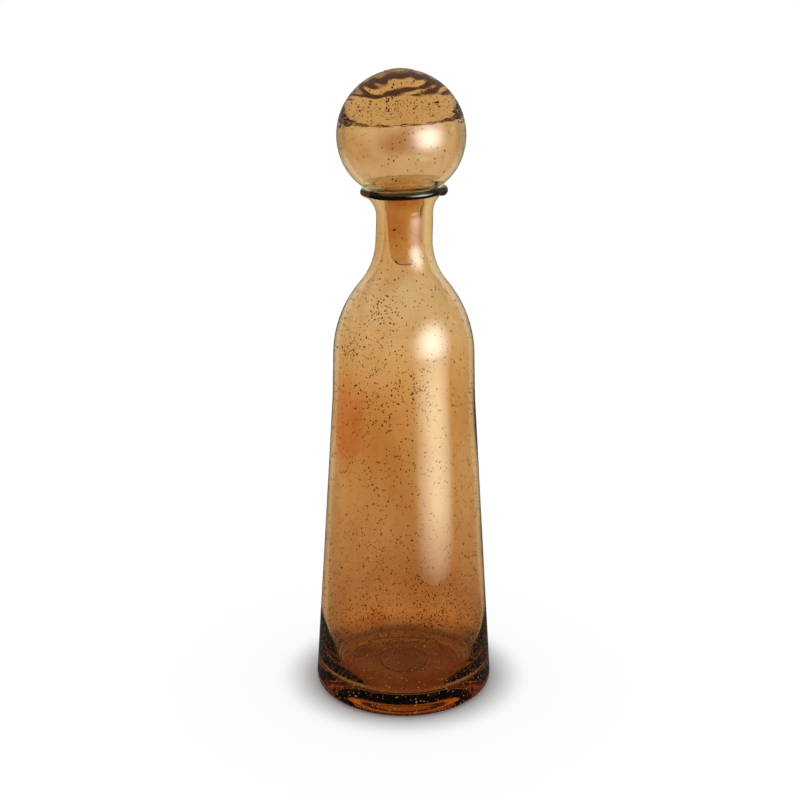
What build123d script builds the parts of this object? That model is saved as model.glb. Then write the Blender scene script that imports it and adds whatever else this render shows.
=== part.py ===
from build123d import *
from math import asin, atan2, cos, hypot, pi, radians, sin, sqrt, tan
import os

# A blown glass genie bottle with a hollow ball stopper that sits a little askew in its mouth.
# Millimetres, +Z up. The origin is the centre of the ring that the bottle stands on.

# Outside of the bottle, from the foot up: each corner's radius, its rise above the last, its rounding
foot_radius = 58.1
heel_fillet = 5.8
waist_radius = 44.9
waist_height = 198.2
waist_fillet = 239.0
shoulder_radius = 43.55
shoulder_rise = 52.0
shoulder_fillet = 72.6
neck_foot_radius = 17.6
neck_foot_rise = 33.0
neck_fillet = 42.0
neck_top_radius = 17.3
neck_length = 34.8
flare_fillet = 14.8
flare_rise = 9.9

# Inside of the bottle: the cove runs up from the floor's edge, and the wall thins above it
body_wall = 3.4
neck_wall = 5.0
floor_height = 12.0
floor_rise = 1.5
floor_rise_radius = 28.0
floor_edge_radius = 46.2
floor_edge_fillet = 4.0
cove_radius = 50.2
cove_height = 26.0
cove_fillet = 50.0
heel_wall_radius = 51.3
heel_wall_height = 46.0
heel_wall_fillet = 150.0
funnel_depth = 8.3

# Hollow under the foot: a bevel inside the standing ring, then a dome with the scar the iron left
ring_inner_radius = 43.5
punt_radius = 37.5
bevel_rise = 2.0
punt_depth = 6.0
scar_radius = 16.5
scar_height = 3.4
scar_fillet = 1.0

# Trail of glass laid round the mouth, whose two ends lap on the +X side
lip_outer_radius = 26.4
lip_section_radius = 2.3
lap_outer_radius = 26.8
lap_section_radius = 2.9
lap_angle = 70.0
rim_outside_share = 0.2
rim_inside_radius = 18.5
rim_drop = 0.3
rim_fillet = 1.6

# The mouth and its stopper lean towards -X
lean_angle = 2.5
mouth_offset = -0.2

# Stopper ball: its lower part is drawn in to a smaller arc, and its hollow has a nearly flat ceiling
ball_radius = 38.9
ball_wall = 3.6
heel_radius = 34.5
heel_turn = 20.0
ceiling_height = 10.0
ceiling_rise = 0.8
ceiling_fillet = 0.8
seat_gap = 0.3

# Solid plug below the ball, and the dab of glass left on its crown
plug_clearance = 1.4
plug_taper = 1.5
plug_length = 46.0
plug_collar_radius = 13.6
plug_collar_depth = 11.5
plug_collar_fillet = 12.0
plug_tip_fillet = 8.5
button_radius = 8.8
button_rise = 0.45
button_fall = 1.15
button_seat_depth = 1.8
button_fillet = 0.5

# The most of a straight run that the roundings at its two ends may take up
run_share = 0.96

full_turn = 360.0
quarter_turn = 90.0


def at(radius, height):
    return (radius, 0, height)


def rounded(corners, fillets):
    """A line through the corners in the XZ plane, with each fillet held to what its two runs allow."""
    runs = [hypot(b[0] - a[0], b[2] - a[2]) for a, b in zip(corners, corners[1:])]
    ways = [atan2(b[2] - a[2], b[0] - a[0]) for a, b in zip(corners, corners[1:])]
    half_turns = [abs((b - a + pi) % (2 * pi) - pi) / 2 for a, b in zip(ways, ways[1:])]
    tangents = [fillet * tan(half) for fillet, half in zip(fillets, half_turns)]
    shares = [run_share * run / max(sum(tangents[max(i - 1, 0):i + 1]), run_share * run)
              for i, run in enumerate(runs)]
    held = [fillet * min(shares[i], shares[i + 1]) for i, fillet in enumerate(fillets)]
    return FilletPolyline(*corners, radius=held)


def arc(centre, radius, start, end):
    """An arc in the XZ plane between two angles in degrees from +X, with its two ends."""
    points = [at(centre[0] + radius * cos(radians(turn)), centre[2] + radius * sin(radians(turn)))
              for turn in (start, (start + end) / 2, end)]
    return ThreePointArc(*points), points[0], points[2]


def dome(start, end, rise):
    """An arc from a point on the axis to one on its rim, with the rise that its sphere has there."""
    radius = (end[0] ** 2 + rise ** 2) / (2 * rise)
    half = asin(end[0] / radius) / 2
    middle = at(radius * sin(half), start[2] - radius * (1 - cos(half)))
    return ThreePointArc(start, middle, end)


def spin(lines):
    """A solid of revolution about Z from the edges of its half section in the XZ plane."""
    return revolve(make_face(Wire(sum((line.edges() for line in lines), []))), Axis.Z)


# Sizes that follow from those above
shoulder_height = waist_height + shoulder_rise
neck_foot_height = shoulder_height + neck_foot_rise
flare_height = neck_foot_height + neck_length
mouth_height = flare_height + flare_rise
lip_core_radius = lip_outer_radius - lip_section_radius
lap_core_radius = lap_outer_radius - lap_section_radius
rim_outside_radius = lip_core_radius + rim_outside_share * lip_section_radius
bore_radius = neck_top_radius - neck_wall
plug_radius = bore_radius - plug_clearance
plug_tip_radius = plug_radius - plug_taper

# The heel arc's centre from the ball's, and the heights at which the ball rests on the trail and its lap
heel_centre_radius = (ball_radius - heel_radius) * cos(radians(heel_turn))
heel_centre_drop = (ball_radius - heel_radius) * sin(radians(heel_turn))
trail_reach = heel_radius + lip_section_radius + seat_gap
lap_reach = heel_radius + lap_section_radius + seat_gap
heel_centre_lift = sqrt(trail_reach ** 2 - (lip_core_radius - heel_centre_radius) ** 2)
ball_lift = heel_centre_lift + heel_centre_drop
lap_drop = sqrt(lap_reach ** 2 - (lap_core_radius - heel_centre_radius) ** 2) - heel_centre_lift

# The leaning frame: its origin is the middle of the mouth, its Z the stopper's own axis
mouth = Location((mouth_offset, 0, mouth_height), (0, -lean_angle, 0))


def make_lip_wrap():
    # The trail runs once round; over the lap its section takes in the thicker end laid on the start
    trail = Pos(lip_core_radius, 0) * Circle(lip_section_radius)
    end = Pos(lap_core_radius, -lap_drop) * Circle(lap_section_radius)
    both = make_hull(trail.edges() + end.edges())
    run = Rot(0, 0, lap_angle / 2) * revolve(Plane.XZ * trail, Axis.Z, full_turn - lap_angle)
    lap = Rot(0, 0, -lap_angle / 2) * revolve(Plane.XZ * both, Axis.Z, lap_angle)
    return mouth * (run + lap)


def make_bottle_body(lip_wrap):
    ring_inner = at(ring_inner_radius, 0)
    foot = at(foot_radius, 0)
    waist = at(waist_radius, waist_height)
    shoulder = at(shoulder_radius, shoulder_height)
    neck_foot = at(neck_foot_radius, neck_foot_height)
    neck_top = at(neck_top_radius, flare_height)
    rim_outside = at(rim_outside_radius, mouth_height)
    rim_middle = at(lip_core_radius, mouth_height - rim_drop)
    outside = rounded([ring_inner, foot, waist, shoulder, neck_foot, neck_top, rim_outside],
                      [heel_fillet, waist_fillet, shoulder_fillet, neck_fillet, flare_fillet])

    # The cavity keeps the wall inside the belly and shoulder, and inside the neck and its flare
    shoulder_slope = atan2(shoulder_radius - neck_foot_radius, neck_foot_height - shoulder_height)
    inner_shoulder_radius = shoulder_radius - body_wall
    inner_shoulder_height = shoulder_height - body_wall * tan(shoulder_slope / 2)
    bore_foot_height = inner_shoulder_height + (inner_shoulder_radius - bore_radius) / tan(shoulder_slope)
    floor_edge = at(floor_rise_radius, floor_height)
    floor_middle = at(0, floor_height + floor_rise)
    inside = rounded([floor_edge, at(floor_edge_radius, floor_height), at(cove_radius, cove_height),
                      at(heel_wall_radius, heel_wall_height), at(waist_radius - body_wall, waist_height),
                      at(inner_shoulder_radius, inner_shoulder_height), at(bore_radius, bore_foot_height),
                      at(bore_radius, mouth_height - funnel_depth),
                      at(rim_inside_radius, mouth_height - rim_drop), rim_middle],
                     [floor_edge_fillet, cove_fillet, heel_wall_fillet, waist_fillet,
                      shoulder_fillet - body_wall, neck_fillet + neck_wall, flare_fillet + neck_wall, rim_fillet])

    bevel_top = at(punt_radius, bevel_rise)
    punt_middle = at(0, punt_depth)
    punt = [dome(punt_middle, bevel_top, punt_depth - bevel_rise), Line(bevel_top, ring_inner)]
    floor = [dome(floor_middle, floor_edge, floor_rise), Line(floor_middle, punt_middle)]
    body = spin([*punt, outside, Line(rim_outside, rim_middle), inside, *floor])
    # The rim stands upright under the leaning ball, so it is ground away to clear it
    return body - lip_wrap - mouth * ball_grown(seat_gap)


def make_pontil_mark(body):
    scar = Pos(0, 0, scar_height) * Cylinder(scar_radius, punt_depth - scar_height,
                                             align=(Align.CENTER, Align.CENTER, Align.MIN))
    scar = fillet(scar.faces().sort_by(Axis.Z)[0].edges(), scar_fillet)
    return scar - body


def ball_half(inset, top_turn):
    """The ball's outline moved in by the inset, from the axis below to an angle above its equator."""
    heel_centre = at(heel_centre_radius, ball_lift - heel_centre_drop)
    heel, heel_foot, heel_top = arc(heel_centre, heel_radius - inset, -quarter_turn, -heel_turn)
    side, side_foot, side_top = arc(at(0, ball_lift), ball_radius - inset, -heel_turn, top_turn)
    foot = at(0, heel_foot[2])
    return [Line(foot, heel_foot), heel, side], foot, side_top


def ball_grown(growth):
    lines, foot, crown = ball_half(-growth, quarter_turn)
    return spin([*lines, Line(crown, foot)])


def make_stopper_ball(button):
    corner_reach = ball_radius - ball_wall - ceiling_fillet
    corner_turn = asin((ceiling_height - ceiling_fillet) / corner_reach) / pi * full_turn / 2
    corner_centre = at(corner_reach * cos(radians(corner_turn)), ball_lift + ceiling_height - ceiling_fillet)
    lines, foot, side_top = ball_half(ball_wall, corner_turn)
    corner, corner_foot, corner_top = arc(corner_centre, ceiling_fillet, corner_turn, quarter_turn)
    middle = at(0, ball_lift + ceiling_height + ceiling_rise)
    hollow = spin([*lines, corner, dome(middle, corner_top, ceiling_rise), Line(middle, foot)])
    return mouth * (ball_grown(0) - hollow) - button


def make_stopper_plug():
    collar = at(plug_collar_radius, 0)
    tip = at(0, -plug_length)
    side = rounded([at(0, 0), collar, at(plug_radius, -plug_collar_depth),
                    at(plug_tip_radius, -plug_length), tip],
                   [0.0, plug_collar_fillet, plug_tip_fillet])
    plug = spin([side, Line(tip, at(0, 0))])
    return mouth * (plug - ball_grown(0))


def make_crown_button():
    top = ball_lift + ball_radius + button_rise
    edge = at(button_radius, top - button_fall)
    head_edge = at(button_radius - 2 * button_fillet, top - button_fall)
    seat = ball_lift + ball_radius - button_seat_depth
    side = rounded([head_edge, edge, at(button_radius, seat), at(0, seat)], [button_fillet, 0.0])
    return mouth * spin([dome(at(0, top), head_edge, button_fall), side, Line(at(0, seat), at(0, top))])


def main():
    os.makedirs("parts", exist_ok=True)
    lip_wrap = make_lip_wrap()
    bottle_body = make_bottle_body(lip_wrap)
    crown_button = make_crown_button()
    parts = {
        "bottle_body": bottle_body,
        "lip_wrap": lip_wrap,
        "pontil_mark": make_pontil_mark(bottle_body),
        "stopper_ball": make_stopper_ball(crown_button),
        "stopper_plug": make_stopper_plug(),
        "crown_button": crown_button,
    }
    for name, shape in parts.items():
        export_step(shape, f"parts/{name}.step")
        box = shape.bounding_box()
        print(name, len(shape.solids()), round(shape.volume), box.min, box.max)


main()
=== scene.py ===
import bpy
import math
import random
from mathutils import Matrix, Vector, noise


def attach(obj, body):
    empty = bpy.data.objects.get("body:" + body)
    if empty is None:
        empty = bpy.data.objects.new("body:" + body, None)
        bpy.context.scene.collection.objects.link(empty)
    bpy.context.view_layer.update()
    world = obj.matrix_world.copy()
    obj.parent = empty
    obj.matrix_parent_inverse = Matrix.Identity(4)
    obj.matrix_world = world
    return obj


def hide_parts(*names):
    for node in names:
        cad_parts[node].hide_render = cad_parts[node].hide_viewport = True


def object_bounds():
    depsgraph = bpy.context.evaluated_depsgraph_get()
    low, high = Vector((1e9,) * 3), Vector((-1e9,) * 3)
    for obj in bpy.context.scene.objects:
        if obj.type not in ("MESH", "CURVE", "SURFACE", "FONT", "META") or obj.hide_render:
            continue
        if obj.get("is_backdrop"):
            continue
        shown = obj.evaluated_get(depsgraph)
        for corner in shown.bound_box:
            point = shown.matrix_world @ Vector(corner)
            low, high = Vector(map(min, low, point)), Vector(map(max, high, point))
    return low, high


# A genie bottle in seeded amber glass: bottle, dark lip trail and a hollow ball stopper.
# The pieces are measured in millimetres and turned into metres as each mesh is made.
# The materials, the room and the camera are in metres.

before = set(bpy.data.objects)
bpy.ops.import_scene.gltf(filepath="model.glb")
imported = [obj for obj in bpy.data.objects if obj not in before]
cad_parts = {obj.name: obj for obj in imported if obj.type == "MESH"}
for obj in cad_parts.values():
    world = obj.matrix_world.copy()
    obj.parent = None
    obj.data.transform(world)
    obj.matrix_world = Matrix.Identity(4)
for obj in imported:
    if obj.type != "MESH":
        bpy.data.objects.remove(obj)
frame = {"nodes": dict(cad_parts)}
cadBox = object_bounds()
print("frame loaded:", ", ".join(frame["nodes"]))

mm = 0.001
fullTurn = 2 * math.pi
tiny = 1e-6
up = Vector((0, 0, 1))

# The mouth and its stopper lean a little towards -X
mouth = {"height": 327.9, "offset": -0.2, "lean": 2.5}
mouthFrame = (Matrix.Translation((mouth["offset"], 0, mouth["height"]))
              @ Matrix.Rotation(math.radians(-mouth["lean"]), 4, "Y"))

runShare = 0.96  # the most of a straight run that the roundings at its two ends may take up
touch = 0.1      # faces nearer to a neighbour than this are fused to it


def held(share):
    return min(1.0, max(0.0, share))


def eased(share):
    share = held(share)
    return share * share * (3 - 2 * share)


def roundedLine(corners, fillets, step):
    # A line in (radius, height) with round corners; each fillet is held to what its two runs allow
    points = [Vector(c) for c in corners]
    runs = [b - a for a, b in zip(points, points[1:])]
    turns = [a.angle(b) for a, b in zip(runs, runs[1:])]
    reaches = [fillet * math.tan(turn / 2) for fillet, turn in zip(fillets, turns)]
    shares = []
    for i, run in enumerate(runs):
        most = runShare * run.length
        shares.append(most / max(sum(reaches[max(i - 1, 0):i + 1]), most))
    line = [points[0]]
    for i, (reach, turn) in enumerate(zip(reaches, turns)):
        reach *= min(shares[i], shares[i + 1])
        corner, into, out = points[i + 1], runs[i].normalized(), runs[i + 1].normalized()
        if reach < tiny or turn < tiny:
            line.append(corner)
            continue
        radius = reach / math.tan(turn / 2)
        way = 1 if into.x * out.y - into.y * out.x > 0 else -1
        start = corner - into * reach
        centre = start + Vector((-into.y, into.x)) * radius * way
        spoke = start - centre
        count = max(3, math.ceil(radius * turn / step))
        for k in range(count + 1):
            c, s = math.cos(way * turn * k / count), math.sin(way * turn * k / count)
            line.append(centre + Vector((spoke.x * c - spoke.y * s, spoke.x * s + spoke.y * c)))
    line.append(points[-1])
    return spaced(line, step)


def spaced(line, step):
    # Adds points so that no run is longer than step
    out = [line[0]]
    for a, b in zip(line, line[1:]):
        count = max(1, math.ceil((b - a).length / step))
        out += [a.lerp(b, i / count) for i in range(1, count + 1)]
    return out


def arcLine(centre, radius, start, end, step):
    # An arc in (radius, height), angles in degrees from the +radius direction
    sweep = math.radians(end - start)
    count = max(3, math.ceil(abs(sweep) * radius / step))
    return [Vector((centre[0] + radius * math.cos(math.radians(start) + sweep * i / count),
                    centre[1] + radius * math.sin(math.radians(start) + sweep * i / count)))
            for i in range(count + 1)]


def domeLine(middle, edge, step):
    # An arc from a point on the axis down to one out at its rim
    rise = middle[1] - edge[1]
    radius = (edge[0] ** 2 + rise ** 2) / (2 * rise)
    half = math.asin(edge[0] / radius)
    count = max(6, math.ceil(radius * half / step))
    angles = [half * i / count for i in range(count + 1)]
    return [Vector((radius * math.sin(turn), middle[1] - radius * (1 - math.cos(turn)))) for turn in angles]


def radiusAt(line, height):
    for a, b in zip(line, line[1:]):
        if min(a.y, b.y) <= height <= max(a.y, b.y) and abs(b.y - a.y) > tiny:
            return a.x + (b.x - a.x) * (height - a.y) / (b.y - a.y)
    return None


def lathe(profile, segments, shift=None):
    # A closed surface of revolution; profile runs from axis to axis, with the glass on its left going up
    verts, faces, rings = [], [], []
    for radius, height in profile:
        if radius < tiny:
            rings.append([len(verts)])
            verts.append(Vector((0, 0, height)))
            continue
        rings.append(list(range(len(verts), len(verts) + segments)))
        for i in range(segments):
            angle = fullTurn * i / segments
            verts.append(Vector((radius * math.cos(angle), radius * math.sin(angle), height)))
    for a, b in zip(rings, rings[1:]):
        for i in range(segments):
            j = (i + 1) % segments
            quad = [a[i % len(a)], a[j % len(a)], b[j % len(b)], b[i % len(b)]]
            face = list(dict.fromkeys(quad))
            if len(face) > 2:
                faces.append(face)
    if shift:
        verts = [shift(v) for v in verts]
    return verts, faces


def bubble(verts, faces, centre, radius, stretch=1.0, along=up):
    # A seed: a small coarse ball whose faces look inwards, so that the glass is outside it
    rings, around = 4, 6
    turn = up.rotation_difference(along).to_matrix()
    base = len(verts)
    points = [Vector((0, 0, stretch))]
    for i in range(1, rings):
        lift = math.pi * i / rings
        points += [Vector((math.sin(lift) * math.cos(fullTurn * j / around),
                           math.sin(lift) * math.sin(fullTurn * j / around),
                           math.cos(lift) * stretch)) for j in range(around)]
    points.append(Vector((0, 0, -stretch)))
    verts += [centre + turn @ (p * radius) for p in points]
    for j in range(around):
        k = (j + 1) % around
        faces.append([base, base + 1 + k, base + 1 + j])
        for i in range(rings - 2):
            a, b = base + 1 + i * around, base + 1 + (i + 1) * around
            faces.append([a + j, a + k, b + k, b + j])
        last = base + 1 + (rings - 2) * around
        faces.append([last + j, last + k, len(verts) - 1])


def buildPiece(name, verts, faces, material, body, node, joint,
               place=Matrix.Identity(4), wallFaces=None, paintedGlintFaces=0):
    # Makes the object, marks its fused faces and hands it to the frame.
    # Faces after the walls are seeds, brown ones with painted shade first and then the pale ones with painted
    # glints.
    mesh = bpy.data.meshes.new(name)
    mesh.from_pydata([(place @ v) * mm for v in verts], [], faces)
    mesh.polygons.foreach_set("use_smooth", [True] * len(mesh.polygons))
    middles = [sum((verts[i] for i in face), Vector()) / len(face) for face in faces[:wallFaces]]
    marks = [1.0 if joint(middle) else 0.0 for middle in middles]
    fused = mesh.attributes.new("fused", "FLOAT", "FACE")
    fused.data.foreach_set("value", marks + [0.0] * (len(faces) - len(marks)))
    mesh.materials.append(material)
    if wallFaces:
        mesh.materials.append(paintedShadeSeedMaterial)
        mesh.materials.append(paintedGlintMaterial)
        paintedShadeFaces = len(faces) - wallFaces - paintedGlintFaces
        mesh.polygons.foreach_set("material_index", [0] * wallFaces + [1] * paintedShadeFaces + [2] * paintedGlintFaces)
    mesh.validate()
    piece = bpy.data.objects.new(name, mesh)
    bpy.context.scene.collection.objects.link(piece)
    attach(piece, body)
    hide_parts(node)
    print("made", name, len(mesh.polygons), "faces")


def newMaterial(name):
    material = bpy.data.materials.new(name)
    material.use_nodes = True
    material.node_tree.nodes.clear()
    return material, material.node_tree.nodes, material.node_tree.links


def newGroup(name, inputs, outputs):
    # An effect of its own; inputs and outputs are (name, socket type, default)
    group = bpy.data.node_groups.new(name, "ShaderNodeTree")
    for way, sockets in (("INPUT", inputs), ("OUTPUT", outputs)):
        for label, kind, default in sockets:
            socket = group.interface.new_socket(name=label, in_out=way, socket_type="NodeSocket" + kind)
            if default is not None:
                socket.default_value = default
    given, result = group.nodes.new("NodeGroupInput"), group.nodes.new("NodeGroupOutput")
    return group, group.nodes, group.links, given, result


def addNode(nodes, kind, values=None, **settings):
    # A shader node with its settings, and its plain values by socket
    node = nodes.new("ShaderNode" + kind)
    for setting, value in settings.items():
        setattr(node, setting, value)
    for socket, value in (values or {}).items():
        node.inputs[socket].default_value = value
    return node


def addRamp(nodes, stops, interpolation="LINEAR"):
    # Stops are (position, colour), from low to high
    ramp = addNode(nodes, "ValToRGB")
    ramp.color_ramp.interpolation = interpolation
    for i, (position, colour) in enumerate(stops):
        stop = ramp.color_ramp.elements[i] if i < 2 else ramp.color_ramp.elements.new(position)
        stop.position = position
        stop.color = (*colour, 1)
    return ramp


def makePatchGroup():
    # Tints a colour inside an uneven spot with soft edges
    group, nodes, links, given, result = newGroup(
        "glassPatch",
        [("Color", "Color", None), ("Tint", "Color", (1, 1, 1, 1)), ("Centre", "Vector", (0, 0, 0)),
         ("Reach", "Vector", (0.02, 0.02, 0.02)), ("Fray", "Float", 0.5), ("Grain", "Float", 60.0)],
        [("Color", "Color", None)])
    where = addNode(nodes, "TexCoord")
    shift = addNode(nodes, "VectorMath", operation="SUBTRACT")
    scaled = addNode(nodes, "VectorMath", operation="DIVIDE")
    length = addNode(nodes, "VectorMath", operation="LENGTH")
    cloud = addNode(nodes, "TexNoise", {"Detail": 3.0})
    away = addNode(nodes, "Math", {1: 0.5}, operation="SUBTRACT")
    ragged = addNode(nodes, "Math", operation="MULTIPLY_ADD")
    inside = addNode(nodes, "MapRange", {"From Min": 1.0, "From Max": 0.25}, interpolation_type="SMOOTHSTEP")
    mix = addNode(nodes, "Mix", data_type="RGBA", blend_type="MULTIPLY")
    links.new(where.outputs["Object"], shift.inputs[0])
    links.new(given.outputs["Centre"], shift.inputs[1])
    links.new(shift.outputs[0], scaled.inputs[0])
    links.new(given.outputs["Reach"], scaled.inputs[1])
    links.new(scaled.outputs[0], length.inputs[0])
    links.new(where.outputs["Object"], cloud.inputs["Vector"])
    links.new(given.outputs["Grain"], cloud.inputs["Scale"])
    links.new(cloud.outputs["Fac"], away.inputs[0])
    links.new(away.outputs[0], ragged.inputs[0])
    links.new(given.outputs["Fray"], ragged.inputs[1])
    links.new(length.outputs["Value"], ragged.inputs[2])
    links.new(ragged.outputs[0], inside.inputs["Value"])
    links.new(inside.outputs["Result"], mix.inputs["Factor"])
    links.new(given.outputs["Color"], mix.inputs["A"])
    links.new(given.outputs["Tint"], mix.inputs["B"])
    links.new(mix.outputs["Result"], result.inputs["Color"])
    return group


def makeGlassGroup():
    # Blown glass from its own tint: cloudy streaks, waves, and no surface where gathers are fused
    group, nodes, links, given, result = newGroup(
        "blownGlass",
        [("Tint", "Color", (1, 1, 1, 1)), ("Streak", "Color", (0.9, 0.8, 0.7, 1)),
         ("Grain", "Float", 30.0), ("Wave", "Float", 0.0)],
        [("Color", "Color", None), ("Solid", "Float", None), ("Height", "Float", None)])
    where = addNode(nodes, "TexCoord")
    drawn = addNode(nodes, "VectorMath", {1: (1.0, 1.0, 0.45)}, operation="MULTIPLY")
    cloud = addNode(nodes, "TexNoise", {"Detail": 4.0, "Distortion": 0.6})
    level = addNode(nodes, "MapRange", {"From Min": 0.38, "From Max": 0.68}, interpolation_type="SMOOTHSTEP")
    streaked = addNode(nodes, "Mix", data_type="RGBA", blend_type="MULTIPLY")
    fused = addNode(nodes, "Attribute", attribute_name="fused")
    solid = addNode(nodes, "Math", {0: 1.0}, operation="SUBTRACT")
    swell = addNode(nodes, "TexNoise", {"Scale": 46.0, "Detail": 1.0})
    height = addNode(nodes, "Math", operation="MULTIPLY")
    links.new(where.outputs["Object"], drawn.inputs[0])
    links.new(drawn.outputs[0], cloud.inputs["Vector"])
    links.new(given.outputs["Grain"], cloud.inputs["Scale"])
    links.new(cloud.outputs["Fac"], level.inputs["Value"])
    links.new(level.outputs["Result"], streaked.inputs["Factor"])
    links.new(given.outputs["Tint"], streaked.inputs["A"])
    links.new(given.outputs["Streak"], streaked.inputs["B"])
    links.new(fused.outputs["Fac"], solid.inputs[1])
    links.new(drawn.outputs[0], swell.inputs["Vector"])
    links.new(swell.outputs["Fac"], height.inputs[0])
    links.new(given.outputs["Wave"], height.inputs[1])
    links.new(streaked.outputs["Result"], result.inputs["Color"])
    links.new(solid.outputs[0], result.inputs["Solid"])
    links.new(height.outputs[0], result.inputs["Height"])
    return group


patchGroup, glassGroup = makePatchGroup(), makeGlassGroup()

# Each glass: tints by height, streaks, shine, refraction, waves, depth of colour, and patches
# of a tint as (tint, centre, reach)
bottleGlass = {
    "tints": [(0.000, (1.0, 0.60, 0.34)), (0.016, (1.0, 0.62, 0.36)), (0.030, (0.78, 0.50, 0.26)),
              (0.050, (0.65, 0.40, 0.21)), (0.075, (0.69, 0.45, 0.25)), (0.100, (0.73, 0.50, 0.28)),
              (0.127, (0.77, 0.56, 0.34)), (0.154, (0.80, 0.60, 0.37)), (0.190, (0.81, 0.61, 0.37)),
              (0.208, (0.82, 0.615, 0.37)), (0.228, (0.84, 0.665, 0.43)), (0.260, (0.885, 0.77, 0.60)),
              (0.283, (0.89, 0.745, 0.546)), (0.330, (0.89, 0.745, 0.546))],
    "streak": (0.91, 0.82, 0.70), "shine": (1.0, 0.97, 0.89), "index": 1.5, "grain": 26.0, "wave": 0.00012,
    "absorb": (0.87, 0.73, 0.40), "density": 100.0,
    "patches": [((0.93, 0.80, 0.62), (-0.012, -0.042, 0.186), (0.036, 0.030, 0.050)),
                ((0.93, 0.60, 0.42), (-0.037, -0.026, 0.190), (0.025, 0.028, 0.042)),
                ((0.90, 0.72, 0.58), (-0.016, -0.048, 0.066), (0.012, 0.014, 0.012)),
                ((0.92, 0.80, 0.66), (0.030, -0.040, 0.050), (0.014, 0.014, 0.010)),
                ((0.80, 0.66, 0.50), (-0.018, -0.004, 0.300), (0.011, 0.016, 0.040))],
}
ballGlass = {
    "tints": [(0.320, (0.86, 0.71, 0.52)), (0.345, (0.84, 0.69, 0.48)), (0.368, (0.81, 0.64, 0.43)),
              (0.376, (0.84, 0.66, 0.43)), (0.400, (0.82, 0.62, 0.38))],
    "streak": (0.90, 0.78, 0.64), "shine": (1.0, 0.98, 0.95), "index": 1.5, "grain": 38.0, "wave": 0.00008,
    "absorb": (0.95, 0.895, 0.78), "density": 100.0,
    "patches": [((0.74, 0.56, 0.42), (-0.003, -0.037, 0.361), (0.020, 0.020, 0.010)),
                ((0.90, 0.80, 0.68), (-0.026, -0.026, 0.356), (0.022, 0.022, 0.014)),
                # The last two patches are painted shade, greying the ball's left and right sides into a
                # darker rim
                ((0.62, 0.56, 0.44), (0.036, -0.014, 0.362), (0.010, 0.020, 0.024)),
                ((0.62, 0.56, 0.44), (-0.038, -0.010, 0.364), (0.007, 0.020, 0.024))],
}
plugGlass = {
    "tints": [(0.280, (0.99, 0.97, 0.94)), (0.288, (0.98, 0.93, 0.86)), (0.300, (0.96, 0.88, 0.76)),
              (0.330, (0.95, 0.86, 0.72))],
    "streak": (0.84, 0.64, 0.44), "shine": (1.0, 0.85, 0.60), "index": 1.15, "grain": 110.0, "wave": 0.00005,
    "absorb": (0.93, 0.85, 0.66), "density": 100.0,
    # Both patches are painted shade: the first darkens the plug's left side, away from the highlight, and the
    # second a band at and under the lip's bead
    "patches": [((0.74, 0.48, 0.24), (-0.006, -0.010, 0.306), (0.0105, 0.024, 0.030)),
                ((0.70, 0.40, 0.20), (0.000, -0.010, 0.326), (0.0180, 0.024, 0.008))],
}
darkGlass = {
    "tints": [(0.300, (0.86, 0.78, 0.58)), (0.350, (0.86, 0.78, 0.58))],
    "streak": (0.95, 0.90, 0.80), "shine": (1.0, 0.95, 0.85), "index": 1.5, "grain": 60.0, "wave": 0.00005,
    "absorb": (0.70, 0.66, 0.40), "density": 100.0,
    "patches": [],
}
# Colours of the opaque seeds: the brown is painted shade and the pale is a painted glint
paintedShadeSeeds = {"dim": (0.26, 0.10, 0.025), "bright": (0.46, 0.21, 0.06), "roughness": 0.6, "shine": 0.15}
paintedGlintSeeds = {"dim": (0.50, 0.40, 0.26), "bright": (0.95, 0.90, 0.78), "roughness": 0.6, "shine": 0.15}


def makeGlass(name, look):
    # Clear glass, coloured at its surface by height and inside by depth
    material, nodes, links = newMaterial(name)
    out = addNode(nodes, "OutputMaterial")
    glass = addNode(nodes, "BsdfPrincipled", {
        "Roughness": 0.0, "IOR": look["index"], "Transmission Weight": 1.0,
        "Specular Tint": (*look["shine"], 1)})
    where = addNode(nodes, "TexCoord")
    split = addNode(nodes, "SeparateXYZ")
    low, high = look["tints"][0][0], look["tints"][-1][0]
    span = addNode(nodes, "MapRange", {"From Min": low, "From Max": high})
    ramp = addRamp(nodes, [((height - low) / (high - low), tint) for height, tint in look["tints"]])
    links.new(where.outputs["Object"], split.inputs[0])
    links.new(split.outputs["Z"], span.inputs["Value"])
    links.new(span.outputs["Result"], ramp.inputs["Fac"])
    colour = ramp.outputs["Color"]
    for tint, centre, reach in look["patches"]:
        patch = addNode(nodes, "Group", node_tree=patchGroup)
        patch.inputs["Tint"].default_value = (*tint, 1)
        patch.inputs["Centre"].default_value = centre
        patch.inputs["Reach"].default_value = reach
        links.new(colour, patch.inputs["Color"])
        colour = patch.outputs["Color"]
    blown = addNode(nodes, "Group", {
        "Streak": (*look["streak"], 1), "Grain": look["grain"], "Wave": look["wave"]}, node_tree=glassGroup)
    bump = addNode(nodes, "Bump")
    depth = addNode(nodes, "VolumeAbsorption", {"Color": (*look["absorb"], 1), "Density": look["density"]})
    links.new(colour, blown.inputs["Tint"])
    links.new(blown.outputs["Color"], glass.inputs["Base Color"])
    links.new(blown.outputs["Solid"], glass.inputs["Alpha"])
    links.new(blown.outputs["Height"], bump.inputs["Height"])
    links.new(bump.outputs["Normal"], glass.inputs["Normal"])
    links.new(glass.outputs[0], out.inputs["Surface"])
    links.new(depth.outputs[0], out.inputs["Volume"])
    return material


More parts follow.
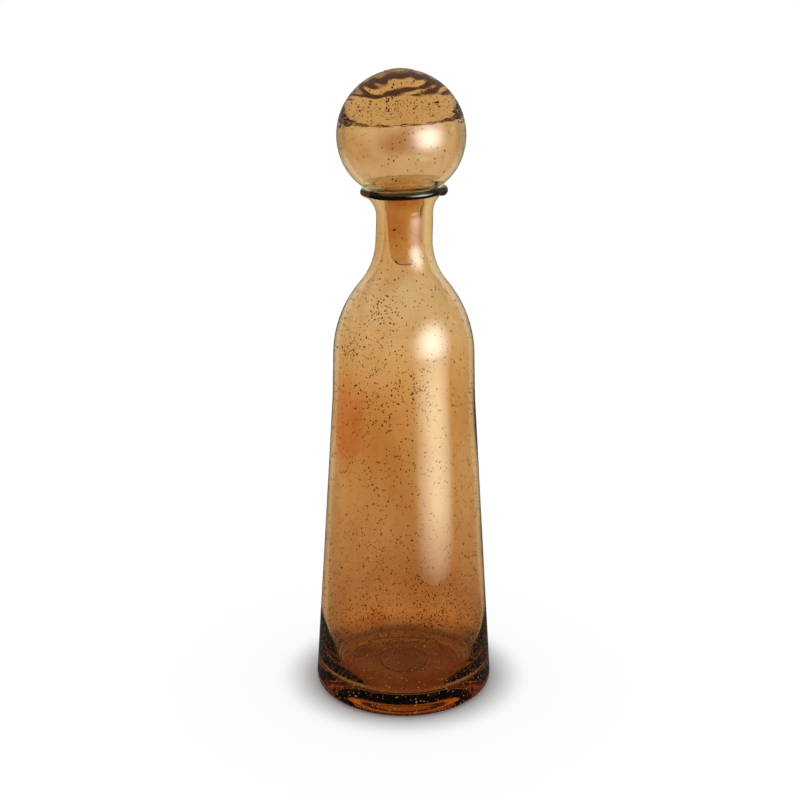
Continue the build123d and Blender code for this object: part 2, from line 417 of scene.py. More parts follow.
def makeSeeded(name, look):
    # Frosted seeds: brown ones in the walls, whose brown is painted shade, and pale ones in the foot, whose
    # paleness is a painted glint of the light they catch
    material, nodes, links = newMaterial(name)
    out = addNode(nodes, "OutputMaterial")
    frost = addNode(nodes, "BsdfPrincipled", {
        "Roughness": look["roughness"], "Specular IOR Level": look["shine"]})
    where = addNode(nodes, "TexCoord")
    cloud = addNode(nodes, "TexNoise", {"Scale": 400.0})
    shades = addRamp(nodes, [(0.35, look["dim"]), (0.65, look["bright"])])
    links.new(where.outputs["Object"], cloud.inputs["Vector"])
    links.new(cloud.outputs["Fac"], shades.inputs["Fac"])
    links.new(shades.outputs["Color"], frost.inputs["Base Color"])
    links.new(frost.outputs[0], out.inputs["Surface"])
    return material


paintedGlintMaterial = makeSeeded("paintedGlintSeeds", paintedGlintSeeds)
paintedShadeSeedMaterial = makeSeeded("paintedShadeSeeds", paintedShadeSeeds)
bottleMaterial = makeGlass("bottleGlass", bottleGlass)
ballMaterial = makeGlass("ballGlass", ballGlass)
plugMaterial = makeGlass("plugGlass", plugGlass)
darkMaterial = makeGlass("darkGlass", darkGlass)
print("made the glass materials")


bottle = {
    "footRadius": 58.1, "heelFillet": 5.8,
    "waistRadius": 44.9, "waistHeight": 198.2, "waistFillet": 239.0,
    "shoulderRadius": 43.55, "shoulderHeight": 250.2, "shoulderFillet": 72.6,
    "neckFootRadius": 17.6, "neckFootHeight": 283.2, "neckFillet": 42.0,
    "neckTopRadius": 17.3, "flareHeight": 318.0, "flareFillet": 14.8,
    "wall": 3.4, "neckWall": 5.0, "floorHeight": 12.0,
    "floorEdge": 46.2, "floorFillet": 4.0, "coveRadius": 50.2, "coveHeight": 26.0, "coveFillet": 50.0,
    "heelRadius": 51.3, "heelHeight": 46.0, "heelWallFillet": 150.0,
    "floorRise": 1.5, "floorRiseRadius": 28.0, "funnelDepth": 8.3, "funnelFillet": 19.8,
    "ringInner": 43.5, "puntRadius": 37.5, "bevelRise": 2.0, "puntDepth": 6.0,
    "segments": 288, "step": 1.6, "leanFoot": 296.0, "leanTop": 320.0,
}
# Slow waves of hand-blown glass, fading out over some millimetres at their foot and their top
bottleWaves = {"outer": 0.10, "inner": 0.28, "skin": 1.2, "length": 34.0, "squash": 0.6,
               "foot": 14.0, "fadeIn": 20.0, "top": 322.0, "fadeOut": 10.0,
               "outerPlace": (0.0, 3.0, 0.0), "innerPlace": (9.0, 3.0, 0.0)}


def cutAtBead(line):
    # Keeps the part of a wall line that lies outside the lip's bead, ending on the bead
    centre, reach = Vector((lip["coreRadius"], mouth["height"])), lip["sectionRadius"] + lip["gap"]
    kept = []
    for point in line:
        if (point - centre).length <= reach:
            before = kept[-1]
            low, high = 0.0, 1.0
            for _ in range(40):
                half = (low + high) / 2
                within = (before.lerp(point, half) - centre).length < reach
                low, high = (low, half) if within else (half, high)
            kept.append(before.lerp(point, low))
            return kept
        kept.append(point)
    return kept


def bottleProfile():
    # The closed outline, with a groove for the lip's bead, and the outer and inner walls before that cut
    b = bottle
    step = b["step"]
    top = mouth["height"]
    outerWall = roundedLine(
        [(b["ringInner"], 0.0), (b["footRadius"], 0.0), (b["waistRadius"], b["waistHeight"]),
         (b["shoulderRadius"], b["shoulderHeight"]), (b["neckFootRadius"], b["neckFootHeight"]),
         (b["neckTopRadius"], b["flareHeight"]), (lip["rimOutside"], top)],
        [b["heelFillet"], b["waistFillet"], b["shoulderFillet"], b["neckFillet"], b["flareFillet"]], step)
    slope = math.atan2(b["shoulderRadius"] - b["neckFootRadius"], b["neckFootHeight"] - b["shoulderHeight"])
    innerShoulder = b["shoulderRadius"] - b["wall"]
    innerHeight = b["shoulderHeight"] - b["wall"] * math.tan(slope / 2)
    bore = b["neckTopRadius"] - b["neckWall"]
    boreFoot = innerHeight + (innerShoulder - bore) / math.tan(slope)
    innerWall = roundedLine(
        [(b["floorRiseRadius"], b["floorHeight"]), (b["floorEdge"], b["floorHeight"]),
         (b["coveRadius"], b["coveHeight"]), (b["heelRadius"], b["heelHeight"]),
         (b["waistRadius"] - b["wall"], b["waistHeight"]), (innerShoulder, innerHeight),
         (bore, boreFoot), (bore, top - b["funnelDepth"]), (lip["rimInside"], top - lip["rimDrop"]),
         (lip["coreRadius"], top - lip["rimDrop"])],
        [b["floorFillet"], b["coveFillet"], b["heelWallFillet"], b["waistFillet"],
         b["shoulderFillet"] - b["wall"], b["neckFillet"] + b["neckWall"], b["funnelFillet"],
         lip["rimFillet"]], step / 2)
    bevel = [Vector((b["puntRadius"], b["bevelRise"])), Vector((b["ringInner"], 0.0))]
    punt = domeLine((0.0, b["puntDepth"]), bevel[0], step) + spaced(bevel, step)[1:]
    floor = domeLine((0.0, b["floorHeight"] + b["floorRise"]), (b["floorRiseRadius"], b["floorHeight"]), step)
    outside, inside = cutAtBead(outerWall), cutAtBead(innerWall)
    centre = Vector((lip["coreRadius"], top))
    start, end = outside[-1] - centre, inside[-1] - centre
    groove = arcLine(centre, lip["sectionRadius"] + lip["gap"], math.degrees(math.atan2(start.y, start.x)),
                     math.degrees(math.atan2(end.y, end.x)), lip["grooveStep"])
    profile = punt[:-1] + outside + groove[1:-1] + inside[::-1] + floor[::-1][1:]
    return profile, outerWall, innerWall


def bottleShift(outerWall):
    # The waves of the wall, and the lean that grows over the top of the neck
    w = bottleWaves
    known = {}  # the outer wall's radius at each height that has come up

    def outerRadius(height):
        if height not in known:
            known[height] = min(outerWall, key=lambda p: abs(p.y - height)).x
        return known[height]

    def shift(v):
        radius = math.hypot(v.x, v.y)
        if radius > tiny and v.z > w["foot"]:
            inner = radius < outerRadius(v.z) - w["skin"]
            size, place = (w["inner"], w["innerPlace"]) if inner else (w["outer"], w["outerPlace"])
            fade = held((v.z - w["foot"]) / w["fadeIn"]) * held((w["top"] - v.z) / w["fadeOut"])
            n = noise.noise(Vector((v.x, v.y, v.z * w["squash"])) / w["length"] + Vector(place))
            v = v + Vector((v.x / radius, v.y / radius, 0)) * size * fade * n
        share = eased((v.z - bottle["leanFoot"]) / (bottle["leanTop"] - bottle["leanFoot"]))
        leant = mouthFrame @ Vector((v.x, v.y, v.z - mouth["height"]))
        return v.lerp(leant, share)

    return shift


def makeBottle():
    profile, outerWall, innerWall = bottleProfile()
    verts, faces = lathe(profile, bottle["segments"], bottleShift(outerWall))
    toMouth = mouthFrame.inverted()
    draw = random.Random(seeds["randomStart"])

    def joint(p):
        if p.z < bottle["puntDepth"] + scar["zone"]:
            return math.hypot(p.x, p.y) < scar["radius"] - touch
        if p.z < mouth["height"] - lip["zone"]:
            return False
        local = toMouth @ p
        core, drop, thick = beadSection(math.atan2(local.y, local.x))
        return math.hypot(math.hypot(local.x, local.y) - core, local.z + drop) < thick + 2 * lip["gap"]

    wallFaces = len(faces)
    addSeeds(draw, verts, faces, outerWall, innerWall)
    paintedGlintFaces = addFootSeeds(draw, verts, faces, outerWall)
    buildPiece("bottleBody", verts, faces, bottleMaterial, "bottle", "bottle_body", joint,
               wallFaces=wallFaces, paintedGlintFaces=paintedGlintFaces)
    return outerWall, innerWall


# Brown seeds in the wall, their brown a painted shade, fewer and smaller in the neck; clusters are (centre,
# spread, count)
seeds = {
    "count": 3600, "smallest": 0.31, "largest": 0.62, "skin": 0.45, "foot": 16.0, "rise": 290.0,
    "neckHeight": 268.0, "neckLoss": 0.55, "neckSize": 0.75,
    "stretch": 0.5, "drawnHeight": 270.0, "drawn": 0.5, "randomStart": 41,
    "clusters": [((-14.0, -32.0, 262.0), 11.0, 60), ((-30.0, -26.0, 236.0), 12.0, 50),
                 ((8.0, -42.0, 212.0), 15.0, 70), ((-22.0, -40.0, 205.0), 16.0, 50),
                 ((16.0, -46.0, 60.0), 14.0, 90), ((-12.0, -50.0, 48.0), 18.0, 120)],
}
# Pale seeds, their paleness a painted glint, just under the heel's outside and just under the inner floor
footSeeds = {
    "heel": 860, "floor": 160, "smallest": 0.28, "largest": 0.65, "foot": 2.5, "rise": 48.0,
    "heelSkin": 0.15, "floorSkin": 0.2, "scatter": 0.5, "floorReach": 46.0,
}


def addSeeds(draw, verts, faces, outerWall, innerWall):
    s = seeds
    spots = []
    for centre, spread, count in s["clusters"]:
        for _ in range(count):
            place = Vector(centre) + Vector([draw.gauss(0, spread * 0.5) for _ in range(3)])
            spots.append((place.z, math.atan2(place.y, place.x)))
    while len(spots) < s["count"]:
        spots.append((s["foot"] + s["rise"] * draw.random() ** 1.5, fullTurn * draw.random()))
    for height, angle in spots:
        inNeck = height > s["neckHeight"]
        if inNeck and draw.random() < s["neckLoss"]:
            continue
        outer, inner = radiusAt(outerWall, height), radiusAt(innerWall, height)
        if outer is None or inner is None:
            continue
        radius = s["smallest"] + (s["largest"] - s["smallest"]) * draw.random() ** 3
        radius *= s["neckSize"] if inNeck else 1.0
        spare = outer - inner - 2 * (radius + s["skin"])
        if spare <= 0:
            continue
        reach = inner + radius + s["skin"] + spare * draw.random()
        stretch = 1.0 + s["stretch"] * draw.random() + (s["drawn"] if height > s["drawnHeight"] else 0.0)
        centre = Vector((reach * math.cos(angle), reach * math.sin(angle), height))
        bubble(verts, faces, centre, radius, stretch)


def addFootSeeds(draw, verts, faces, outerWall):
    # Returns how many faces it adds
    s = footSeeds
    before = len(faces)
    for i in range(s["heel"] + s["floor"]):
        angle = fullTurn * draw.random()
        radius = s["smallest"] + (s["largest"] - s["smallest"]) * draw.random() ** 2
        if i < s["heel"]:
            height = s["foot"] + s["rise"] * draw.random() ** 1.3
            reach = radiusAt(outerWall, height) - radius - s["heelSkin"] - s["scatter"] * draw.random()
        else:
            reach = s["floorReach"] * math.sqrt(draw.random())
            height = bottle["floorHeight"] - radius - s["floorSkin"] - s["scatter"] * draw.random()
        centre = Vector((reach * math.cos(angle), reach * math.sin(angle), height))
        bubble(verts, faces, centre, radius, along=Vector((1, 0, 0)))
    return len(faces) - before


lip = {
    "coreRadius": 24.1, "sectionRadius": 2.3, "lapCore": 23.9, "lapRadius": 2.9, "lapDrop": 0.833,
    "lapAngle": 70.0, "lapBlend": 26.0, "rimOutside": 24.56, "rimInside": 18.5, "rimDrop": 0.3,
    "rimFillet": 1.6, "gap": 0.03, "grooveStep": 0.4, "around": 240, "section": 40, "zone": 8.0,
}


def beadSection(angle):
    # Core radius, drop below the mouth's plane and thickness of the trail, thicker where its ends lap
    off = abs((angle + math.pi) % fullTurn - math.pi)
    lap = eased((math.radians(lip["lapAngle"]) / 2 - off) / math.radians(lip["lapBlend"]))
    return (lip["coreRadius"] + (lip["lapCore"] - lip["coreRadius"]) * lap, lip["lapDrop"] * lap,
            lip["sectionRadius"] + (lip["lapRadius"] - lip["sectionRadius"]) * lap)


def makeLip(outerWall, innerWall):
    # The trail goes once round; near +X a thicker end is laid on its start
    around, section = lip["around"], lip["section"]
    verts, faces = [], []
    for i in range(around):
        angle = fullTurn * i / around
        core, drop, thick = beadSection(angle)
        for j in range(section):
            turn = fullTurn * j / section
            radius = core + thick * math.cos(turn)
            verts.append(Vector((radius * math.cos(angle), radius * math.sin(angle),
                                 thick * math.sin(turn) - drop)))
    for i in range(around):
        for j in range(section):
            a, b = i * section, ((i + 1) % around) * section
            k = (j + 1) % section
            faces.append([a + j, b + j, b + k, a + k])

    def joint(p):
        radius, height = math.hypot(p.x, p.y), p.z + mouth["height"]
        outer, inner = radiusAt(outerWall, height), radiusAt(innerWall, height)
        return outer is not None and inner is not None and inner - touch < radius < outer + touch

    buildPiece("lipWrap", verts, faces, darkMaterial, "bottle", "lip_wrap", joint, mouthFrame)


scar = {"radius": 16.5, "height": 3.4, "fillet": 1.0, "gap": 0.03, "zone": 0.5,
        "rings": 16, "segments": 96, "step": 0.5}


def makeScar():
    rise, edge = bottle["puntDepth"] - bottle["bevelRise"], bottle["puntRadius"]
    sphere = (edge ** 2 + rise ** 2) / (2 * rise)

    def ceiling(radius):
        return bottle["puntDepth"] - sphere + math.sqrt(sphere ** 2 - radius ** 2) - scar["gap"]

    places = [scar["radius"] * i / scar["rings"] for i in range(scar["rings"] + 1)]
    top = [Vector((radius, ceiling(radius))) for radius in places]
    under = roundedLine([(0.0, scar["height"]), (scar["radius"], scar["height"]), top[-1]],
                        [scar["fillet"]], scar["step"])
    verts, faces = lathe(under + top[::-1][1:], scar["segments"])

    def joint(p):
        return p.z > ceiling(math.hypot(p.x, p.y)) - touch / 2

    buildPiece("pontilMark", verts, faces, bottleMaterial, "bottle", "pontil_mark", joint)


walls = makeBottle()
makeLip(*walls)
makeScar()


# Waves are (size, length, place in the noise)
ball = {
    "radius": 38.9, "heelRadius": 34.5, "heelTurn": 20.0, "wall": 3.6, "lift": 32.775,
    "ceiling": 10.0, "ceilingRise": 0.8, "edgeFillet": 0.8,
    "ceilingWaves": [(0.35, 9.0, 1.0), (0.14, 3.5, 5.0)], "ceilingDepth": 2.5,
    "edgeWave": (0.7, 3.0, 8.0), "edgeWidth": 3.0, "edgeDip": 1.1, "dipWave": (1.0, 5.0, 13.0),
    "hollowSkin": 0.3, "plugWeld": 12.0,
    "segments": 192, "step": 0.9, "crownStep": 0.7, "edgeStep": 0.3,
}
ballMiddle = Vector((0.0, ball["lift"]))
heelAngle = -math.radians(ball["heelTurn"])
heelWay = Vector((math.cos(heelAngle), math.sin(heelAngle)))
heelMiddle = ballMiddle + heelWay * (ball["radius"] - ball["heelRadius"])


def ballLine(inset, top):
    # The ball's half outline, from the axis below up to the angle top; its heel is drawn in a little
    step = ball["step"]
    low = arcLine(heelMiddle, ball["heelRadius"] - inset, -90.0, -ball["heelTurn"], step)
    high = arcLine(ballMiddle, ball["radius"] - inset, -ball["heelTurn"], top, step)
    foot = spaced([Vector((0.0, low[0].y)), low[0]], step)
    return foot[:-1] + low + high[1:]


def ballGap(p):
    # How far a point in (radius, height) lies outside the ball's outline
    reach = p - heelMiddle
    if reach.x < 0:
        return heelMiddle.y - ball["heelRadius"] - p.y
    if math.atan2(reach.y, reach.x) < heelAngle:
        return reach.length - ball["heelRadius"]
    return (p - ballMiddle).length - ball["radius"]


def makeBall():
    s = ball
    centre, outer, inner = s["lift"], s["radius"], s["radius"] - s["wall"]
    seatRadius, seat = button["radius"] + button["gap"], centre + outer - button["seat"] - button["gap"]
    outside = ballLine(0.0, math.degrees(math.acos(seatRadius / outer)))
    crown = spaced([outside[-1], Vector((seatRadius, seat)), Vector((0.0, seat))], s["crownStep"])
    # The bubble blown into the ball has a nearly flat ceiling, and above it the glass is solid
    ceiling, corner = centre + s["ceiling"], s["edgeFillet"]
    turn = math.asin((s["ceiling"] - corner) / (inner - corner))
    edgeMiddle = Vector(((inner - corner) * math.cos(turn), ceiling - corner))
    hollow = ballLine(s["wall"], math.degrees(turn))
    hollow += arcLine(edgeMiddle, corner, math.degrees(turn), 90.0, s["edgeStep"])[1:]
    hollow += domeLine((0.0, ceiling + s["ceilingRise"]), (edgeMiddle.x, ceiling), s["step"])[::-1][1:]
    verts, faces = lathe(outside + crown[1:], s["segments"])
    hollowVerts, hollowFaces = lathe(hollow[::-1], s["segments"])
    faces += [[i + len(verts) for i in face] for face in hollowFaces]
    verts += hollowVerts

    def wave(v, size, length, place):
        return size * noise.noise(v / length + Vector((place, 0.0, 2.0)))

    for v in verts:
        radius = math.hypot(v.x, v.y)
        inside = (v - up * centre).length < inner + s["hollowSkin"]
        if inside and v.z > ceiling - s["ceilingDepth"] and radius > 0:
            # The blown surface is uneven, most of all along its edge
            edge = max(0.0, 1 - abs(radius - edgeMiddle.x) / s["edgeWidth"])
            grow = 1 + edge * wave(v, *s["edgeWave"]) / radius
            v.z -= edge * s["edgeDip"] * (0.5 + wave(v, *s["dipWave"]))
            v.z += sum(wave(v, *ceilingWave) for ceilingWave in s["ceilingWaves"])
            v.x, v.y = v.x * grow, v.y * grow

    def joint(p):
        radius = math.hypot(p.x, p.y)
        below = p.z < centre and radius < s["plugWeld"] and abs(ballGap(Vector((radius, p.z)))) < touch
        above = p.z > seat - touch / 2 and radius < seatRadius + touch / 2
        return below or above

    wallFaces = len(faces)
    addBallSeeds(verts, faces, ceiling)
    buildPiece("stopperBall", verts, faces, ballMaterial, "stopper", "stopper_ball", joint,
               mouthFrame, wallFaces)


# Seeds of the ball: a share of them in its solid cap over the ceiling, the rest in its wall
ballSeeds = {
    "count": 620, "smallest": 0.22, "largest": 0.56, "skin": 0.5, "stretch": 0.4, "heelShift": 2.2,
    "capShare": 0.45, "capSize": 0.62, "capReach": 31.0, "capSkin": 1.8, "capDepth": 5.0,
    "squash": 0.9, "raise": 0.2, "plugCone": 0.85, "heelFrom": 0.3, "randomStart": 5,
}


def addBallSeeds(verts, faces, ceiling):
    s = ballSeeds
    draw = random.Random(s["randomStart"])
    for _ in range(s["count"]):
        radius = s["smallest"] + (s["largest"] - s["smallest"]) * draw.random() ** 2
        if draw.random() < s["capShare"]:
            radius *= s["capSize"]
            reach, angle = s["capReach"] * math.sqrt(draw.random()), fullTurn * draw.random()
            height = ceiling + s["capSkin"] + radius + s["capDepth"] * draw.random() ** 2
            spot = Vector((reach * math.cos(angle), reach * math.sin(angle), height))
        else:
            away = Vector([draw.gauss(0, 1) for _ in range(3)])
            away.z = away.z * s["squash"] + s["raise"]
            away.normalize()
            if away.z < -s["plugCone"]:
                away.z = -away.z  # none over the plug
            depth = radius + s["skin"] + (ball["wall"] - 2 * (radius + s["skin"])) * draw.random()
            # The heel is drawn in, so the seeds there lie deeper
            depth += s["heelShift"] * max(0.0, -away.z - s["heelFrom"])
            spot = up * ball["lift"] + away * (ball["radius"] - depth)
        bubble(verts, faces, spot, radius, 1.0 + s["stretch"] * draw.random())


plug = {
    "length": 46.0, "collarRadius": 13.6, "collarDepth": 11.5, "radius": 10.9, "tipRadius": 9.4,
    "collarFillet": 12.0, "tipFillet": 8.5, "gap": 0.02, "rim": 0.3, "segments": 128, "step": 0.8,
    "flute": 0.8, "flutes": 3.2, "fluteLength": 60.0, "fluteTop": -4.0, "fluteFade": 8.0, "core": 2.0,
}


def makePlug():
    s = plug
    side = roundedLine([(s["collarRadius"], 0.0), (s["radius"], -s["collarDepth"]),
                        (s["tipRadius"], -s["length"]), (0.0, -s["length"])],
                       [s["collarFillet"], s["tipFillet"]], s["step"])
    side = [p for p in side if ballGap(p) > 2 * s["gap"]]
    rim = side[0].x - s["rim"]
    top = [p - Vector((0.0, s["gap"])) for p in ballLine(0.0, 0.0) if p.x < rim]
    verts, faces = lathe(side[::-1] + top[::-1], s["segments"])
    for v in verts:
        # Shallow flutes down the side
        radius = math.hypot(v.x, v.y)
        fade = held((s["fluteTop"] - v.z) / s["fluteFade"])
        if radius > s["core"] and fade > 0:
            way = Vector((v.x, v.y, 0)) / radius * s["flutes"]
            flute = noise.noise(way + up * (v.z / s["fluteLength"]))
            grow = 1 + s["flute"] * fade * flute / radius
            v.x, v.y = v.x * grow, v.y * grow

    def joint(p):
        return ballGap(Vector((math.hypot(p.x, p.y), p.z))) < 4 * s["gap"]

    buildPiece("stopperPlug", verts, faces, plugMaterial, "stopper", "stopper_plug", joint,
               mouthFrame)


button = {
    "radius": 8.8, "rise": 0.45, "fall": 1.15, "seat": 1.8, "fillet": 0.5, "gap": 0.02,
    "shelf": 1.0, "shelfRise": 0.1, "weld": 1.0, "segments": 96, "step": 0.5,
}


def makeButton():
    s = button
    crown = ball["lift"] + ball["radius"]
    top, seat = crown + s["rise"], crown - s["seat"]
    shoulder = top - s["fall"]
    lower = roundedLine([(0.0, seat), (s["radius"], seat), (s["radius"], shoulder),
                         (s["radius"] - s["shelf"], shoulder + s["shelfRise"])], [0, s["fillet"]], s["step"])
    cap = domeLine((0.0, top), lower[-1], s["step"])
    verts, faces = lathe(lower + cap[::-1][1:], s["segments"])

    def joint(p):
        return p.z < crown - s["weld"]

    buildPiece("crownButton", verts, faces, ballMaterial, "stopper", "crown_button", joint,
               mouthFrame)


makeBall()
makePlug()
makeButton()


# Albedos, and the glow that the camera and clear glass see on the floor, by distance from the axis; the glow
# fades out round the foot as a painted shadow, and under the foot a paler albedo and a glow are painted light
floorLook = {
    "albedo": 0.38, "footPaintedLightAlbedo": 0.85, "mirrorPaintedShadeAlbedo": 0.08, "glow": 0.65, "paintedFootGlow": 0.12,
    "footInner": 0.045, "footOuter": 0.056, "shadowInner": 0.050, "shadowOuter": 0.086, "shadowBack": 0.004,
    "radius": 6.0, "sides": 96,
}
# Stops are (sine of the height, colour), for light that comes through glass; reflections see a plain grey
sky = {
    "stops": [(-1.0, (1, 1, 1)), (0.28, (1, 1, 1)),
              (0.35, (0.10, 0.055, 0.022)), (0.47, (0.10, 0.055, 0.022)),
              (0.55, (0.55, 0.55, 0.55)), (0.75, (0.50, 0.50, 0.50)), (0.9, (0.12, 0.10, 0.08))],
    "mirror": 0.22,
}


def makeFloor():
    look = floorLook
    material, nodes, links = newMaterial("paleFloor")
    out = addNode(nodes, "OutputMaterial")
    matte = addNode(nodes, "BsdfDiffuse")
    glow = addNode(nodes, "Emission")
    both = addNode(nodes, "AddShader")
    place = addNode(nodes, "NewGeometry")
    flat = addNode(nodes, "VectorMath", {
        1: (1, 1, 0), 2: (0, -look["shadowBack"], 0)}, operation="MULTIPLY_ADD")
    length = addNode(nodes, "VectorMath", operation="LENGTH")
    path = addNode(nodes, "LightPath")
    # Painted light: the floor is paler under the foot, as if lit through the glass
    under = addNode(nodes, "MapRange", {
        "From Min": look["footInner"], "From Max": look["footOuter"],
        "To Min": look["footPaintedLightAlbedo"], "To Max": look["albedo"]}, interpolation_type="SMOOTHSTEP")
    # Painted shade: reflection rays see the floor at a low albedo, so it shows dark in the glass
    mirrored = addNode(nodes, "Mix", {"B": look["mirrorPaintedShadeAlbedo"]}, data_type="FLOAT")
    # Painted shadow: the glow fades out towards the foot, darkening the floor round it on top of the real
    # shadow from the matte part
    fade = addNode(nodes, "MapRange", {
        "From Min": look["shadowInner"], "From Max": look["shadowOuter"]}, interpolation_type="SMOOTHSTEP")
    # Painted light: a glow on the floor below the foot, standing in for the light that the glass throws there
    thrown = addNode(nodes, "MapRange", {
        "From Min": look["footOuter"], "From Max": look["footInner"],
        "To Max": look["paintedFootGlow"] / look["glow"]}, interpolation_type="SMOOTHSTEP")
    fuller = addNode(nodes, "Math", operation="ADD")
    seen = addNode(nodes, "Math", operation="MAXIMUM")
    level = addNode(nodes, "Math", operation="MULTIPLY")
    strength = addNode(nodes, "Math", {1: look["glow"]}, operation="MULTIPLY")
    links.new(place.outputs["Position"], flat.inputs[0])
    links.new(flat.outputs[0], length.inputs[0])
    links.new(length.outputs["Value"], under.inputs["Value"])
    links.new(under.outputs["Result"], mirrored.inputs["A"])
    links.new(path.outputs["Is Reflection Ray"], mirrored.inputs["Factor"])
    links.new(mirrored.outputs["Result"], matte.inputs["Color"])
    links.new(length.outputs["Value"], fade.inputs["Value"])
    links.new(length.outputs["Value"], thrown.inputs["Value"])
    links.new(fade.outputs["Result"], fuller.inputs[0])
    links.new(thrown.outputs["Result"], fuller.inputs[1])
    links.new(path.outputs["Is Camera Ray"], seen.inputs[0])
    links.new(path.outputs["Is Transmission Ray"], seen.inputs[1])
    links.new(seen.outputs[0], level.inputs[0])
    links.new(fuller.outputs[0], level.inputs[1])
    links.new(level.outputs[0], strength.inputs[0])
    links.new(strength.outputs[0], glow.inputs["Strength"])
    links.new(matte.outputs[0], both.inputs[0])
    links.new(glow.outputs[0], both.inputs[1])
    links.new(both.outputs[0], out.inputs["Surface"])
    mesh = bpy.data.meshes.new("floor")
    sides, radius = look["sides"], look["radius"]
    ring = [(radius * math.cos(fullTurn * i / sides), radius * math.sin(fullTurn * i / sides), 0)
            for i in range(sides)]
    mesh.from_pydata(ring, [], [list(range(sides))])
    mesh.materials.append(material)
    floor = bpy.data.objects.new("floor", mesh)
    bpy.context.scene.collection.objects.link(floor)
    floor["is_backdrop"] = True
    print("made the floor")


def makeWorld():
    world = bpy.data.worlds.new("room")
    world.use_nodes = True
    bpy.context.scene.world = world
    nodes, links = world.node_tree.nodes, world.node_tree.links
    nodes.clear()
    out = addNode(nodes, "OutputWorld")
    back = addNode(nodes, "Background")
    where = addNode(nodes, "TexCoord")
    split = addNode(nodes, "SeparateXYZ")
    height = addNode(nodes, "MapRange", {"From Min": -1.0})
    ramp = addRamp(nodes, [((level + 1) / 2, colour) for level, colour in sky["stops"]], "EASE")
    path = addNode(nodes, "LightPath")
    plain = addNode(nodes, "Math", operation="MAXIMUM")
    level = addNode(nodes, "Mix", {"B": (1, 1, 1, 1)}, data_type="RGBA")
    mirror = addNode(nodes, "Mix", {"B": (*[sky["mirror"]] * 3, 1)}, data_type="RGBA")
    links.new(where.outputs["Generated"], split.inputs[0])
    links.new(split.outputs["Z"], height.inputs["Value"])
    links.new(height.outputs["Result"], ramp.inputs["Fac"])
    links.new(path.outputs["Is Camera Ray"], plain.inputs[0])
    links.new(path.outputs["Is Diffuse Ray"], plain.inputs[1])
    links.new(path.outputs["Is Reflection Ray"], mirror.inputs["Factor"])
    links.new(ramp.outputs["Color"], mirror.inputs["A"])
    links.new(plain.outputs[0], level.inputs["Factor"])
    links.new(mirror.outputs["Result"], level.inputs["A"])
    links.new(level.outputs["Result"], back.inputs["Color"])
    links.new(back.outputs[0], out.inputs["Surface"])
    print("made the world")


# Each box stands at a turn and distance from the axis. Its levels go from the floor up, as
# (height, radiance), and its comb shuts off light between two slants in degrees.
softBoxes = [
    {"name": "farBox", "turn": 47.0, "distance": 0.70, "low": 0.0, "high": 0.72, "width": 1.52,
     "colour": (1.0, 0.98, 0.94), "comb": (80, 88),
     "levels": [(0.0, 0.0), (0.08, 2.0), (0.16, 5.5), (0.24, 13.5), (0.34, 17.5), (0.45, 16.5),
                (0.55, 9.0), (0.65, 2.5), (0.72, 0.0)]},
    {"name": "lowBox", "turn": 47.0, "distance": 0.32, "low": 0.0, "high": 0.21, "width": 0.66,
     "colour": (1.0, 0.98, 0.76), "comb": (24, 40),
     "levels": [(0.0, 1.0), (0.02, 5.0), (0.06, 9.6), (0.09, 9.6), (0.13, 8.2), (0.17, 4.0), (0.21, 0.0)]},
]


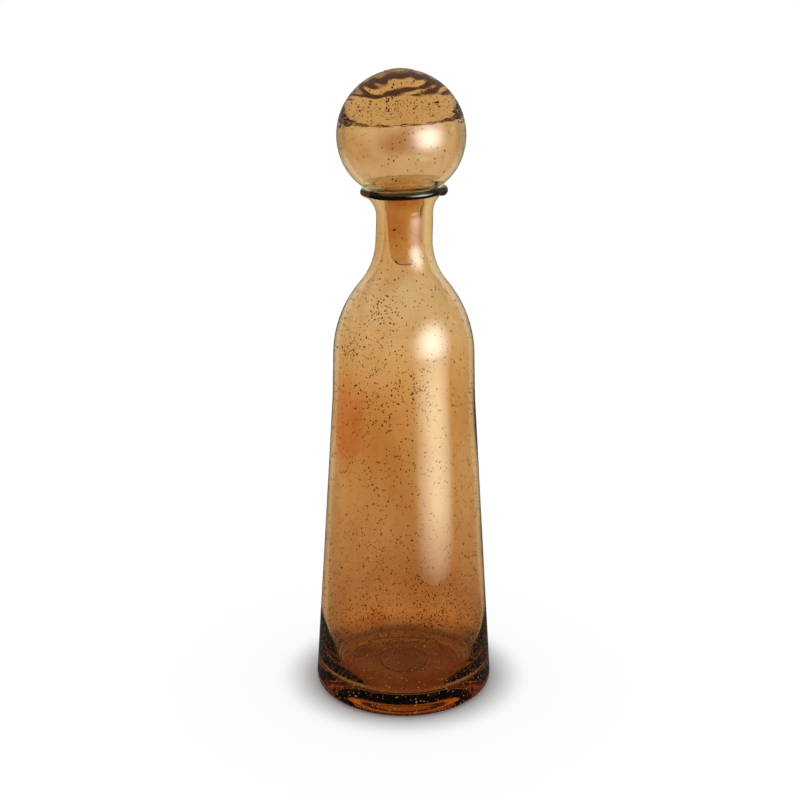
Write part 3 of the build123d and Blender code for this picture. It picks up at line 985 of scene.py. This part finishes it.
def makeBoxMaterial(box):
    # Glows between soft sides, at a level that changes with height and only within its comb's slants
    material, nodes, links = newMaterial(box["name"])
    peak = max(level for _, level in box["levels"])
    rise = box["high"] - box["low"]
    stops = [((height - box["low"]) / rise, [level / peak * part for part in box["colour"]])
             for height, level in box["levels"]]
    clearSlant, shutSlant = [1 - math.cos(math.radians(slant)) for slant in box["comb"]]
    out = addNode(nodes, "OutputMaterial")
    glow = addNode(nodes, "Emission")
    clear = addNode(nodes, "BsdfTransparent")
    both = addNode(nodes, "AddShader")
    place = addNode(nodes, "TexCoord")
    split = addNode(nodes, "SeparateXYZ")
    edge = addNode(nodes, "Math", {1: 0.5}, operation="PINGPONG")
    soft = addNode(nodes, "MapRange", {"From Max": 0.5}, interpolation_type="SMOOTHSTEP")
    tailed = addNode(nodes, "Math", {1: 2.0}, operation="POWER")
    levels = addRamp(nodes, stops)
    slant = addNode(nodes, "LayerWeight", {"Blend": 0.5})
    comb = addNode(nodes, "MapRange", {
        "From Min": shutSlant, "From Max": clearSlant}, interpolation_type="SMOOTHSTEP")
    shaped = addNode(nodes, "Math", operation="MULTIPLY")
    strength = addNode(nodes, "Math", {1: peak}, operation="MULTIPLY")
    links.new(place.outputs["Generated"], split.inputs[0])
    links.new(split.outputs["X"], edge.inputs[0])
    links.new(edge.outputs[0], soft.inputs["Value"])
    links.new(soft.outputs["Result"], tailed.inputs[0])
    links.new(split.outputs["Y"], levels.inputs["Fac"])
    links.new(levels.outputs["Color"], glow.inputs["Color"])
    links.new(slant.outputs["Facing"], comb.inputs["Value"])
    links.new(tailed.outputs[0], shaped.inputs[0])
    links.new(comb.outputs["Result"], shaped.inputs[1])
    links.new(shaped.outputs[0], strength.inputs[0])
    links.new(strength.outputs[0], glow.inputs["Strength"])
    links.new(glow.outputs[0], both.inputs[0])
    links.new(clear.outputs[0], both.inputs[1])
    links.new(both.outputs[0], out.inputs["Surface"])
    return material


def makeSoftBox(box):
    # A tall glowing panel, seen only in reflections
    half, rise, turn = box["width"] / 2, box["high"] - box["low"], math.radians(box["turn"])
    mesh = bpy.data.meshes.new(box["name"])
    mesh.from_pydata([(-half, 0, 0), (half, 0, 0), (half, rise, 0), (-half, rise, 0)], [], [[0, 1, 2, 3]])
    mesh.materials.append(makeBoxMaterial(box))
    panel = bpy.data.objects.new(box["name"], mesh)
    foot = (box["distance"] * math.sin(turn), -box["distance"] * math.cos(turn), box["low"])
    panel.matrix_world = (Matrix.Translation(foot) @ Matrix.Rotation(turn, 4, "Z")
                          @ Matrix.Rotation(math.radians(90), 4, "X"))
    panel.visible_camera = False
    panel.visible_diffuse = False
    panel.visible_transmission = False
    panel.visible_shadow = False
    bpy.context.scene.collection.objects.link(panel)
    panel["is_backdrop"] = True
    print("made", box["name"])


makeFloor()
makeWorld()
for box in softBoxes:
    makeSoftBox(box)


view = {"lens": 65.25, "sensor": 36.0, "place": (-0.0024, -0.8731, 0.4749), "tilt": 72.2, "farthest": 20}


def makeCamera():
    lens = bpy.data.cameras.new("camera")
    lens.lens = view["lens"]
    lens.sensor_width = view["sensor"]
    lens.clip_end = view["farthest"]
    camera = bpy.data.objects.new("camera", lens)
    camera.location = view["place"]
    camera.rotation_euler = (math.radians(view["tilt"]), 0, 0)
    bpy.context.scene.collection.objects.link(camera)
    bpy.context.scene.camera = camera
    print("placed the camera")


makeCamera()
bpy.context.scene.view_settings.view_transform = "Standard"

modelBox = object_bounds()
for title, box in (("cad box", cadBox), ("model box", modelBox)):
    print(title, [[round(x, 5) for x in c] for c in box])
